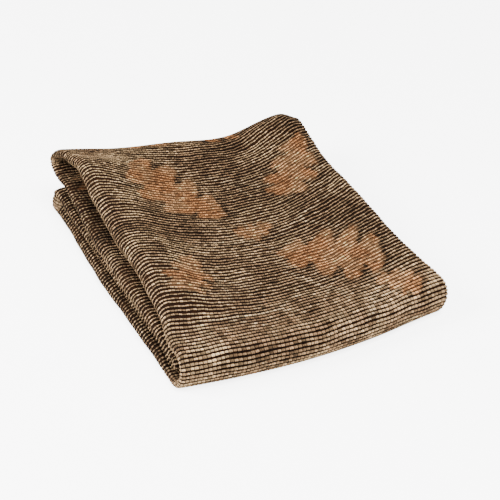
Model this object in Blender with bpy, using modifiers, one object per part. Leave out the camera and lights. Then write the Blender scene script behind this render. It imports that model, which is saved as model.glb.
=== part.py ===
"""A camouflage net, folded up: one long band of coarse ribbed net, laid back and forth in four leaves.

The net lies on its thick floor leaf. The band goes round the front in one large fold, over the top as
the cover leaf, round an open roll at the back, forward again as the third leaf, and back once more as
the thin second leaf, whose loose end lies on the floor leaf. The sides are the puffed edges of the
leaves, where the net had been folded along its length first.

Every size in the tables is in millimetres. Depths run from the front corners to the back, heights up
from the surface that the net lies on, and shares across the width run from 0 at the left to 1.
"""

import math
from typing import Callable, NamedTuple

import bmesh
import bpy

OBJECT_NAME = "camouflage_net"
MM = 0.001
NET_COLOUR = (0.19, 0.135, 0.075, 1.0)
NET_ROUGHNESS = 0.95

GAP = 1.0  # air between two leaves that lie on each other
EDGE_REACH = 0.62  # an edge is rounded over this share of the thickness
END_REACH = 0.32  # the same for a loose end, which is blunter
ROLL_SWING = 6.0  # how far the roll's left side stands out between its top and its underside
EDGE_ANGLES = (16, 38, 62)  # degrees round a puffed edge, from its tip, where it has a column or row
REST_BAND = 0.5  # the underside is pressed flat where it is lower than this

LEAF_BACK = 335.0  # depth where the floor leaf and the second leaf begin their loose ends
WRAP_START = 13.0  # depth where the floor leaf and the cover leaf run into the large front fold
WRAP_FRONT = -8.0  # depth of that fold's foremost line, at its left corner
INNER_FRONT = 18.0  # depth where the second and the third leaf turn, behind the large fold
ROLL_START = 316.0  # depth where the cover leaf runs into the roll
ROLL_RETURN = 304.0  # depth where the roll's underside becomes the third leaf
SQUARENESS = 0.64  # power on the large fold's outline: 1 is an ellipse, less is squarer

COLUMNS = 16  # even spans across the width, between the rounded edges
LEAF_SPANS = 11
COVER_SPANS = 17
INNER_FOLD_SPANS = 8
LARGE_FOLD_SPANS = 12


class Across(NamedTuple):
    """A value at seven shares of the width. The hump is the roll's high place near its right end."""

    left_edge: float
    left: float
    near_middle: float
    middle: float
    valley: float
    hump: float
    right_edge: float


class Thickness(NamedTuple):
    """How thick a leaf is at one depth. Its side edges are puffier than its middle."""

    depth: float
    left: float
    middle: float
    right: float


class Profile(NamedTuple):
    """A height at one depth."""

    depth: float
    height: Across


class Side(NamedTuple):
    """Where the side edges of a leaf are at one depth, from the front corners' left one."""

    depth: float
    left: float
    right: float


SHARES = Across(0.0, 0.08, 0.22, 0.45, 0.7, 0.94, 1.0)
PUFF_REACH = 0.34  # share of the width over which a puffed side fades into the flat middle

# How far each column's front and back end stand off from the front and back depths, and how far the roll
# reaches behind its start.
FRONT_BOW = Across(-5.0, -8.5, -13.5, -17.5, -14.0, -4.0, -2.0)
BACK_BOW = Across(0.0, 0.0, -2.0, -4.0, -5.0, -2.0, -2.0)
ROLL_REACH = Across(25.0, 24.5, 22.0, 19.0, 16.0, 19.0, 14.0)

FLOOR_THICKNESS = (
    Thickness(WRAP_START, 8.5, 8.0, 8.0),
    Thickness(50, 13.5, 10.0, 10.5),
    Thickness(120, 15.0, 11.0, 12.0),
    Thickness(240, 16.5, 12.0, 13.0),
    Thickness(LEAF_BACK, 16.5, 12.5, 13.0),
)
SECOND_THICKNESS = (
    Thickness(INNER_FRONT, 5.0, 5.0, 5.0),
    Thickness(200, 6.0, 5.5, 5.5),
    Thickness(LEAF_BACK, 13.0, 5.5, 5.5),
)
THIRD_THICKNESS = (
    Thickness(INNER_FRONT, 10.0, 9.5, 10.0),
    Thickness(80, 14.5, 11.5, 12.0),
    Thickness(200, 15.5, 12.5, 12.5),
    Thickness(260, 12.0, 10.0, 10.0),
    Thickness(ROLL_RETURN, 6.5, 6.5, 6.5),
)
COVER_THICKNESS = (
    Thickness(WRAP_START, 9.0, 8.0, 8.0),
    Thickness(60, 18.0, 8.0, 8.0),
    Thickness(120, 22.0, 8.0, 8.0),
    Thickness(180, 22.0, 8.0, 8.0),
    Thickness(240, 19.0, 7.5, 8.0),
    Thickness(285, 15.0, 7.0, 7.0),
    Thickness(ROLL_START, 9.0, 6.5, 6.5),
)

COVER_HEIGHT = (
    Profile(WRAP_START, Across(36.5, 36.5, 35.5, 34.5, 34.0, 33.5, 33.0)),
    Profile(60, Across(44.5, 43.5, 38.5, 34.5, 33.5, 34.5, 35.0)),
    Profile(120, Across(51.5, 51.0, 43.0, 37.0, 35.0, 37.0, 38.0)),
    Profile(180, Across(55.0, 55.0, 47.5, 39.5, 37.0, 40.5, 42.0)),
    Profile(240, Across(67.5, 65.5, 56.0, 46.0, 40.5, 42.5, 43.0)),
    Profile(285, Across(80.8, 75.8, 65.5, 53.5, 45.0, 52.0, 49.0)),
    Profile(ROLL_START, Across(79.0, 74.3, 67.0, 60.0, 51.5, 64.5, 57.0)),
)
THIRD_RISE = (
    Profile(180, Across(0.0, 0.0, 0.0, 0.0, 0.0, 0.0, 0.0)),
    Profile(240, Across(3.0, 3.0, 3.0, 3.0, 2.0, 2.0, 2.0)),
    Profile(285, Across(12.0, 12.0, 12.0, 9.5, 6.0, 8.0, 7.0)),
    Profile(ROLL_START, Across(18.5, 18.5, 19.0, 16.0, 10.0, 14.0, 12.0)),
)

FLOOR_SIDE = (
    Side(WRAP_START, -6, 279),
    Side(60, -7, 281),
    Side(180, -8, 282),
    Side(LEAF_BACK, -3, 281),
)
SECOND_SIDE = (Side(INNER_FRONT, 0, 280), Side(LEAF_BACK, -1, 279))
THIRD_SIDE = (
    Side(INNER_FRONT, -1, 281),
    Side(110, -3, 281),
    Side(200, -2, 281),
    Side(ROLL_RETURN, 1, 282),
)
COVER_SIDE = (
    Side(WRAP_START, -2, 289),
    Side(60, 5, 285),
    Side(120, 9, 283.5),
    Side(180, 8.5, 284),
    Side(240, 9.5, 284.5),
    Side(285, 11, 286.5),
    Side(ROLL_START, 7, 286),
)


class Station(NamedTuple):
    """One point of the band's middle line in one column, with the band's thickness and sides there."""

    depth: float
    height: float
    thickness: float
    left: float
    right: float


def smooth_curve(knots: tuple, values: tuple, at: float, level_ends: bool) -> float:
    """A smooth line through the values at the knots. Past its ends it stays level."""
    if at <= knots[0]:
        return values[0]
    if at >= knots[-1]:
        return values[-1]
    last = len(knots) - 1
    i = next(k for k in range(last) if at <= knots[k + 1])

    def slope(k: int) -> float:
        if level_ends and k in (0, last):
            return 0.0
        before, after = max(k - 1, 0), min(k + 1, last)
        return (values[after] - values[before]) / (knots[after] - knots[before])

    span = knots[i + 1] - knots[i]
    t = (at - knots[i]) / span
    start = (1 + 2 * t) * (1 - t) ** 2 * values[i] + t * (1 - t) ** 2 * span * slope(i)
    end = t * t * (3 - 2 * t) * values[i + 1] + t * t * (t - 1) * span * slope(i + 1)
    return start + end


def column_of(rows: tuple, name: str, depth: float) -> float:
    """One named column of a table of rows, at a depth."""
    depths = tuple(row.depth for row in rows)
    return smooth_curve(depths, tuple(getattr(row, name) for row in rows), depth, True)


def across(values: Across, share: float) -> float:
    """A value at any share of the width."""
    return smooth_curve(SHARES, values, share, False)


def profile(rows: tuple, share: float, depth: float) -> float:
    """A height at any share of the width and any depth."""
    depths = tuple(row.depth for row in rows)
    return smooth_curve(depths, tuple(across(row.height, share) for row in rows), depth, True)


def fade(distance: float) -> float:
    """1 at a side edge, falling softly to 0 in the flat middle."""
    t = min(distance / PUFF_REACH, 1.0)
    return (1 - t) ** 2 * (1 + 2 * t)


def thickness(rows: tuple, share: float, depth: float) -> float:
    """A leaf's thickness, which swells from its middle to its puffed sides."""
    left, middle, right = (column_of(rows, name, depth) for name in ("left", "middle", "right"))
    return middle + (left - middle) * fade(share) + (right - middle) * fade(1 - share)


def station(rows: tuple, sides: tuple, share: float, depth: float, underside: float) -> Station:
    """A station whose leaf has its underside at a height."""
    thick = thickness(rows, share, depth)
    left, right = (column_of(sides, name, depth) for name in ("left", "right"))
    return Station(depth, underside + thick / 2, thick, left, right)


def floor_station(share: float, depth: float) -> Station:
    return station(FLOOR_THICKNESS, FLOOR_SIDE, share, depth, 0.0)


def second_station(share: float, depth: float) -> Station:
    floor_top = thickness(FLOOR_THICKNESS, share, depth)
    return station(SECOND_THICKNESS, SECOND_SIDE, share, depth, floor_top + GAP)


def third_station(share: float, depth: float) -> Station:
    second = second_station(share, depth)
    second_top = second.height + second.thickness / 2
    lift = profile(THIRD_RISE, share, depth)
    return station(THIRD_THICKNESS, THIRD_SIDE, share, depth, second_top + GAP + lift)


def cover_station(share: float, depth: float) -> Station:
    lying = station(COVER_THICKNESS, COVER_SIDE, share, depth, 0.0)
    return lying._replace(height=profile(COVER_HEIGHT, share, depth))


def edge_steps(reach: float) -> list:
    """(distance in from the tip, share of the thickness) down a rounded edge, without its last step."""
    steps = []
    for angle in EDGE_ANGLES:
        turn = math.radians(angle)
        steps.append((reach * (1 - math.cos(turn)), math.sin(turn)))
    return steps


def run(leaf: Callable, share: float, start: float, end: float, spans: int) -> list:
    """Stations of one leaf from depth to depth."""
    return [leaf(share, start + (end - start) * k / spans) for k in range(spans + 1)]


def loose_end(leaf: Callable, share: float, start: float) -> list:
    """The rounded stations of a loose end that points to the back, from its tip."""
    last = leaf(share, start)
    reach = END_REACH * last.thickness
    return [
        last._replace(depth=start + reach - distance, thickness=last.thickness * part)
        for distance, part in edge_steps(reach)
    ]


def between(before: Station, after: Station, part: float, depth: float, height: float) -> Station:
    """A station at a place, with its thickness and sides partway from one station's to another's."""
    thick, left, right = (
        getattr(before, name) + (getattr(after, name) - getattr(before, name)) * part
        for name in ("thickness", "left", "right")
    )
    return Station(depth, height, thick, left, right)


def large_fold(before: Station, after: Station, reach: float, power: float, swing: float) -> list:
    """The half turn between two leaves that lie well apart.

    Reach is its outermost depth, and swing is how far its left side stands out there.
    """
    stations = []
    for k in range(1, LARGE_FOLD_SPANS):
        turn = math.pi * k / LARGE_FOLD_SPANS
        part = (1 - math.cos(turn)) / 2
        root = before.depth + (after.depth - before.depth) * part
        depth = root + (reach - root) * math.sin(turn) ** power
        height = before.height + (after.height - before.height) * part
        bent = between(before, after, part, depth, height)
        stations.append(bent._replace(left=bent.left - swing * math.sin(turn)))
    return stations


def inner_fold(before: Station, after: Station) -> list:
    """The tight half turn at the front, from an upper leaf to the one that it lies on."""
    pivot = after.height + after.thickness / 2 + GAP / 2
    stations = []
    for k in range(1, INNER_FOLD_SPANS):
        part = k / INNER_FOLD_SPANS
        turn = math.pi * part
        bent = between(before, after, part, 0.0, 0.0)
        radius = (bent.thickness + GAP) / 2
        depth = before.depth - radius * math.sin(turn)
        stations.append(bent._replace(depth=depth, height=pivot + radius * math.cos(turn)))
    return stations


def band_in_column(share: float) -> list:
    """The whole band in one column, from the floor leaf's loose end to the second leaf's."""
    bow = across(FRONT_BOW, share)
    front, inner_front = WRAP_START + bow, INNER_FRONT + bow
    back = LEAF_BACK + across(BACK_BOW, share)

    floor = loose_end(floor_station, share, back)
    floor += run(floor_station, share, back, inner_front, LEAF_SPANS) + [floor_station(share, front)]
    cover = run(cover_station, share, front, ROLL_START, COVER_SPANS)
    third = run(third_station, share, ROLL_RETURN, inner_front, LEAF_SPANS)
    second = run(second_station, share, inner_front, back, LEAF_SPANS)
    second += loose_end(second_station, share, back)[::-1]
    return (
        floor
        + large_fold(floor[-1], cover[0], WRAP_FRONT + bow, SQUARENESS, 0.0)
        + cover
        + large_fold(cover[-1], third[0], ROLL_START + across(ROLL_REACH, share), 1.0, ROLL_SWING)
        + third
        + inner_fold(third[-1], second[0])
        + second
    )


def edge_column(right: bool) -> list:
    """The band in its side edge: one list of (across, depth, height, thickness) for each rounded step."""
    stations = band_in_column(float(right))
    columns = []
    for step in range(len(EDGE_ANGLES)):
        column = []
        for point in stations:
            distance, part = edge_steps(EDGE_REACH * point.thickness)[step]
            x = point.right - distance if right else point.left + distance
            column.append((x, point.depth, point.height, point.thickness * part))
        columns.append(column)
    return columns


def band() -> list:
    """Columns of (across, depth, height, thickness) over the whole band, from its left side to its right."""
    columns = edge_column(False)
    for k in range(COLUMNS + 1):
        share = k / COLUMNS
        column = []
        for point in band_in_column(share):
            inset = EDGE_REACH * point.thickness
            width = point.right - point.left - 2 * inset
            x = point.left + inset + width * share
            column.append((x, point.depth, point.height, point.thickness))
        columns.append(column)
    return columns + edge_column(True)[::-1]


def fabric() -> bpy.types.Material:
    finish = bpy.data.materials.new("net_fabric")
    finish.use_nodes = True
    shader = finish.node_tree.nodes["Principled BSDF"]
    shader.inputs["Base Color"].default_value = NET_COLOUR
    shader.inputs["Roughness"].default_value = NET_ROUGHNESS
    shader.inputs["Metallic"].default_value = 0.0
    return finish


def make_surface(columns: list) -> tuple:
    """The band's middle surface, from a flat grid, and each point's share of the greatest thickness."""
    rows = len(columns[0])
    thickest = max(point[3] for column in columns for point in column)
    centre_x = (min(p[0] for c in columns for p in c) + max(p[0] for c in columns for p in c)) / 2
    grid = bmesh.new()
    bmesh.ops.create_grid(grid, x_segments=len(columns) - 1, y_segments=rows - 1, size=0.5)
    shares = {}
    for vertex in grid.verts:
        column = columns[round((vertex.co.x + 0.5) * (len(columns) - 1))]
        x, depth, height, thick = column[round((vertex.co.y + 0.5) * (rows - 1))]
        vertex.co = ((x - centre_x) * MM, depth * MM, height * MM)
        shares[vertex.index] = thick / thickest
    data = bpy.data.meshes.new("net_surface")
    grid.to_mesh(data)
    grid.free()
    return data, shares, thickest


def thickened(data: bpy.types.Mesh, shares: dict, thickest: float) -> bpy.types.Mesh:
    """The surface made a solid by Solidify, half of its thickness to each side."""
    guide = bpy.data.objects.new("net_surface", data)
    bpy.context.scene.collection.objects.link(guide)
    group = guide.vertex_groups.new(name="thickness")
    for index, weight in shares.items():
        group.add([index], weight, "REPLACE")
    shell = guide.modifiers.new("Thickness", "SOLIDIFY")
    shell.thickness = thickest * MM
    shell.offset = 0.0
    shell.vertex_group = group.name
    shell.use_even_offset = True
    shell.use_quality_normals = True
    evaluated = guide.evaluated_get(bpy.context.evaluated_depsgraph_get())
    solid = bpy.data.meshes.new_from_object(evaluated)
    bpy.data.objects.remove(guide)
    return solid


def press_flat(data: bpy.types.Mesh) -> None:
    """The net's own weight presses its underside flat, and its middle stands over the origin."""
    depths = [vertex.co.y for vertex in data.vertices]
    centre_y = (min(depths) + max(depths)) / 2
    for vertex in data.vertices:
        vertex.co.y -= centre_y
        if vertex.co.z < REST_BAND * MM:
            vertex.co.z = 0.0


def make_net(collection: bpy.types.Collection) -> bpy.types.Object:
    surface, shares, thickest = make_surface(band())
    solid = thickened(surface, shares, thickest)
    solid.name = "net"
    press_flat(solid)
    solid.materials.clear()
    solid.materials.append(fabric())
    solid.shade_smooth()
    net = bpy.data.objects.new("net", solid)
    collection.objects.link(net)
    return net


def main() -> None:
    for old in list(bpy.data.objects):
        bpy.data.objects.remove(old)
    collection = bpy.data.collections.new(OBJECT_NAME)
    bpy.context.scene.collection.children.link(collection)
    make_net(collection)


main()
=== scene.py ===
"""Dresses the folded camouflage net.

The net is coarse ribbed cloth: rolled, beaded ribs run across the band, and dark shade shows between
them. The fold is worked out from the same sizes as its solid, then the ribs are laid over it as tubes
and the net beneath them as one closed folded sheet, painted near black as the shade between the ribs.

Every size in the tables is in millimetres. Depths run from the front corners to the back, heights up
from the floor, and shares across the width from 0 at the left to 1. A side of the band is outer where it
is the floor leaf's underside, the front fold's outside, the cover's top and the roll's outside.
"""

import logging
import math
from collections.abc import Callable
from dataclasses import dataclass, field
from enum import Enum
from typing import NamedTuple

import bmesh
import bpy
import numpy as np
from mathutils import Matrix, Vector


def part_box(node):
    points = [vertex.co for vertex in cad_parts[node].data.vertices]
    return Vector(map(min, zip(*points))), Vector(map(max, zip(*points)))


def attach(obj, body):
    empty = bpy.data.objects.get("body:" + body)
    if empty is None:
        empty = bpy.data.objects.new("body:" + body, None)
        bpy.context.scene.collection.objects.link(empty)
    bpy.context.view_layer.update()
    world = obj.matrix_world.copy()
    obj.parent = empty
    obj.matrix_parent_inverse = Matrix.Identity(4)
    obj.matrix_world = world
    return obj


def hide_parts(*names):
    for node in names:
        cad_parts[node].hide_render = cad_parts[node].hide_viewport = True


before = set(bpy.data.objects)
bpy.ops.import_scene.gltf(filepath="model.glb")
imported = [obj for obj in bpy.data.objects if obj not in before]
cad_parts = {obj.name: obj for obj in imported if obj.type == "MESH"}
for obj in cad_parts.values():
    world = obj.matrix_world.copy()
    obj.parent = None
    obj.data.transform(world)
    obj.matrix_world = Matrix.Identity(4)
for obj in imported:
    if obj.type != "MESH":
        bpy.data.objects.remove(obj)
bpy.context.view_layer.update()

LOG = logging.getLogger("folded_net")
MM = 0.001
BAKE_MAP = "OFBake"
YARN_MAP = "yarn"
BODY = "root"
NODE = "net"
WHITE = (1.0, 1.0, 1.0, 1.0)

Socket = bpy.types.NodeSocket
LeafShape = Callable[[np.ndarray, np.ndarray], np.ndarray]  # a leaf's stations by share and depth


# Sizes of the fold, as in its solid.


class Across(NamedTuple):
    """A value at seven shares of the width. The hump is the roll's high place near its right end."""

    left_edge: float
    left: float
    near_middle: float
    middle: float
    valley: float
    hump: float
    right_edge: float


class Thickness(NamedTuple):
    """How thick a leaf is at one depth. Its side edges are puffier than its middle."""

    depth: float
    left: float
    middle: float
    right: float


class Profile(NamedTuple):
    """A height at one depth."""

    depth: float
    height: Across


class Side(NamedTuple):
    """Where the side edges of a leaf are at one depth."""

    depth: float
    left: float
    right: float


GAP = 1.0  # between two leaves that lie on each other
EDGE_REACH = 0.62  # how far a side edge is rounded out, as a share of the thickness
END_REACH = 0.32  # and a loose end
ROLL_SWING = 6.0  # how far the roll's left side stands out
LEAF_BACK = 335.0
WRAP_START = 13.0
WRAP_FRONT = -8.0
INNER_FRONT = 18.0
ROLL_START = 316.0
ROLL_RETURN = 304.0
SQUARENESS = 0.64  # of the large fold at the front
WIDTH = 285.0
PUFF_REACH = 0.34  # how far in the side edges are puffed, as a share of the width
CREASE_RUN_IN = 0.35  # over what share of its length a crease comes up at each end

TIP_TURNS = (0, 8, 16, 27, 38, 50, 62, 76)  # degrees round a loose end, from its tip
THICK, LEFT, RIGHT = 5, 6, 7  # columns of the fold's table, after a point and its normal

SHARES = Across(0.0, 0.08, 0.22, 0.45, 0.7, 0.94, 1.0)
FRONT_BOW = Across(-5.0, -8.5, -13.5, -17.5, -14.0, -4.0, -2.0)
BACK_BOW = Across(0.0, 0.0, -2.0, -4.0, -5.0, -2.0, -2.0)
ROLL_REACH = Across(25.0, 24.5, 22.0, 19.0, 16.0, 19.0, 14.0)

SAG = Across(0.0, 4.0, 11.0, 19.0, 20.0, 11.0, 8.0)  # how far the ribs lag behind their left ends

COVER_HEIGHT = (
    Profile(WRAP_START, Across(36.5, 36.5, 35.5, 34.5, 34.0, 33.5, 33.0)),
    Profile(60, Across(44.5, 43.5, 38.5, 34.5, 33.5, 34.5, 35.0)),
    Profile(120, Across(51.5, 51.0, 43.0, 37.0, 35.0, 37.0, 38.0)),
    Profile(180, Across(55.0, 55.0, 47.5, 39.5, 37.0, 40.5, 42.0)),
    Profile(240, Across(67.5, 65.5, 56.0, 46.0, 40.5, 42.5, 43.0)),
    Profile(285, Across(80.8, 75.8, 65.5, 53.5, 45.0, 52.0, 49.0)),
    Profile(ROLL_START, Across(79.0, 74.3, 67.0, 60.0, 51.5, 64.5, 57.0)),
)
THIRD_RISE = (
    Profile(180, Across(0.0, 0.0, 0.0, 0.0, 0.0, 0.0, 0.0)),
    Profile(240, Across(3.0, 3.0, 3.0, 3.0, 2.0, 2.0, 2.0)),
    Profile(285, Across(12.0, 12.0, 12.0, 9.5, 6.0, 8.0, 7.0)),
    Profile(ROLL_START, Across(18.5, 18.5, 19.0, 16.0, 10.0, 14.0, 12.0)),
)


def smooth_curve(knots: list, values: np.ndarray, at: np.ndarray, level_ends: bool) -> np.ndarray:
    """A smooth line through the values at the knots.

    Args:
        knots: where the values are.
        values: one value a knot, or one row of values a knot with a column for each row of at.
        at: where to read the line. Past the knots it stays level.
        level_ends: whether the line leaves its ends level.

    Returns:
        The line's values, in the shape of at.
    """
    knots = np.asarray(knots, float)
    values = np.asarray(values, float)
    count = len(knots)
    before = np.maximum(np.arange(count) - 1, 0)
    after = np.minimum(np.arange(count) + 1, count - 1)
    spans = (knots[after] - knots[before]).reshape(-1, *[1] * (values.ndim - 1))
    slopes = (values[after] - values[before]) / spans
    if level_ends:
        slopes[0] = 0.0
        slopes[-1] = 0.0
    at = np.clip(at, knots[0], knots[-1])
    i = np.clip(np.searchsorted(knots, at) - 1, 0, count - 2)
    columns = (np.arange(values.shape[1])[:, None],) if values.ndim == 2 else ()
    span = knots[i + 1] - knots[i]
    t = (at - knots[i]) / span
    first = (i, *columns)
    second = (i + 1, *columns)
    start = (1 + 2 * t) * (1 - t) ** 2 * values[first] + t * (1 - t) ** 2 * span * slopes[first]
    end = t * t * (3 - 2 * t) * values[second] + t * t * (t - 1) * span * slopes[second]
    return start + end


def column(rows: tuple, name: str, at: np.ndarray) -> np.ndarray:
    """One column of a table at any depth or place, on a smooth line through its rows."""
    return smooth_curve([row[0] for row in rows], [getattr(row, name) for row in rows], at, True)


def soft_step(value: np.ndarray) -> np.ndarray:
    """0 below 0, 1 above 1 and a smooth S between."""
    t = np.clip(value, 0.0, 1.0)
    return t * t * (3 - 2 * t)


@dataclass(frozen=True)
class Crease:
    """A soft ridge, or a trough where its height is negative, across the cover.

    Its ends are (across, depth) in millimetres.
    """

    start: tuple
    end: tuple
    width: float
    height: float

    def lift(self, x: np.ndarray, depth: np.ndarray) -> np.ndarray:
        """How much the crease lifts the cover.

        Args:
            x: places across the band, in millimetres from its left side.
            depth: places from the front to the back.

        Returns:
            The lift at each place.
        """
        run = np.subtract(self.end, self.start)
        length = math.hypot(*run)
        along = ((x - self.start[0]) * run[0] + (depth - self.start[1]) * run[1]) / length
        off = ((x - self.start[0]) * run[1] - (depth - self.start[1]) * run[0]) / length
        run_in = CREASE_RUN_IN * length
        ends = soft_step(along / run_in) * soft_step((length - along) / run_in)
        return self.height * ends * np.exp(-((off / self.width) ** 2))


CREASES = (
    Crease((10, 120), (120, 60), 15, -1.8),
    Crease((20, 205), (150, 150), 20, 1.8),
    Crease((60, 290), (190, 215), 18, -2.0),
    Crease((150, 130), (275, 190), 17, 1.6),
    Crease((170, 60), (285, 120), 16, -1.5),
    Crease((120, 300), (270, 250), 15, 1.6),
    Crease((40, 40), (230, 35), 13, -1.2),
)


@dataclass(frozen=True)
class Leaf:
    """One leaf of the folded band, by depth."""

    thickness: tuple
    sides: tuple

    def stations(self, share: np.ndarray, depth: np.ndarray, underside: np.ndarray) -> np.ndarray:
        """Stations of the leaf lying on an underside.

        Args:
            share: a column of shares of the width.
            depth: a row of depths for each share.
            underside: the height of the leaf's underside there.

        Returns:
            An array of (depth, height, thickness, left, right) for each share and depth.
        """
        thick = self.thick(share, depth)
        left, right = (column(self.sides, name, depth) for name in ("left", "right"))
        return np.stack([depth, underside + thick / 2, thick, left, right], axis=-1)

    def thick(self, share: np.ndarray, depth: np.ndarray) -> np.ndarray:
        """The leaf's thickness, which swells from its middle to its puffed sides."""
        left, middle, right = (column(self.thickness, name, depth) for name in ("left", "middle", "right"))
        return middle + (left - middle) * fade(share) + (right - middle) * fade(1 - share)


def fade(distance: np.ndarray) -> np.ndarray:
    """1 at a side edge, falling softly to 0 in the flat middle."""
    t = np.minimum(distance / PUFF_REACH, 1.0)
    return (1 - t) ** 2 * (1 + 2 * t)


def across(values: Across, share: np.ndarray) -> np.ndarray:
    """A value at any share of the width."""
    return smooth_curve(SHARES, values, share, False)


def profile(rows: tuple, share: np.ndarray, depth: np.ndarray) -> np.ndarray:
    """A height at a column of shares and a row of depths for each."""
    values = np.array([across(row.height, share[:, 0]) for row in rows])
    return smooth_curve([row.depth for row in rows], values, depth, True)


FLOOR_LEAF = Leaf(
    thickness=(
        Thickness(WRAP_START, 8.5, 8.0, 8.0),
        Thickness(50, 13.5, 10.0, 10.5),
        Thickness(120, 15.0, 11.0, 12.0),
        Thickness(240, 16.5, 12.0, 13.0),
        Thickness(LEAF_BACK, 16.5, 12.5, 13.0),
    ),
    sides=(
        Side(WRAP_START, -6, 279),
        Side(60, -7, 281),
        Side(180, -8, 282),
        Side(LEAF_BACK, -3, 281),
    ),
)
SECOND_LEAF = Leaf(
    thickness=(
        Thickness(INNER_FRONT, 5.0, 5.0, 5.0),
        Thickness(200, 6.0, 5.5, 5.5),
        Thickness(LEAF_BACK, 13.0, 5.5, 5.5),
    ),
    sides=(Side(INNER_FRONT, 0, 280), Side(LEAF_BACK, -1, 279)),
)
THIRD_LEAF = Leaf(
    thickness=(
        Thickness(INNER_FRONT, 10.0, 9.5, 10.0),
        Thickness(80, 14.5, 11.5, 12.0),
        Thickness(200, 15.5, 12.5, 12.5),
        Thickness(260, 12.0, 10.0, 10.0),
        Thickness(ROLL_RETURN, 6.5, 6.5, 6.5),
    ),
    sides=(
        Side(INNER_FRONT, -1, 281),
        Side(110, -3, 281),
        Side(200, -2, 281),
        Side(ROLL_RETURN, 1, 282),
    ),
)
COVER_LEAF = Leaf(
    thickness=(
        Thickness(WRAP_START, 9.0, 8.0, 8.0),
        Thickness(60, 18.0, 8.0, 8.0),
        Thickness(120, 22.0, 8.0, 8.0),
        Thickness(180, 22.0, 8.0, 8.0),
        Thickness(240, 19.0, 7.5, 8.0),
        Thickness(285, 15.0, 7.0, 7.0),
        Thickness(ROLL_START, 9.0, 6.5, 6.5),
    ),
    sides=(
        Side(WRAP_START, -2, 289),
        Side(60, 5, 285),
        Side(120, 9, 283.5),
        Side(180, 8.5, 284),
        Side(240, 9.5, 284.5),
        Side(285, 11, 286.5),
        Side(ROLL_START, 7, 286),
    ),
)


class Stretch(Enum):
    """The stretches of the band, from the floor leaf's loose end to the second leaf's."""

    FLOOR = "floor"
    FRONT = "front"
    COVER = "cover"
    ROLL = "roll"
    THIRD = "third"
    INNER = "inner"
    SECOND = "second"


class Wave(NamedTuple):
    """One of the waves that the ribs wander in."""

    height: float
    turns: float  # over the width
    run: float  # along the band for each radian
    phase: float


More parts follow.
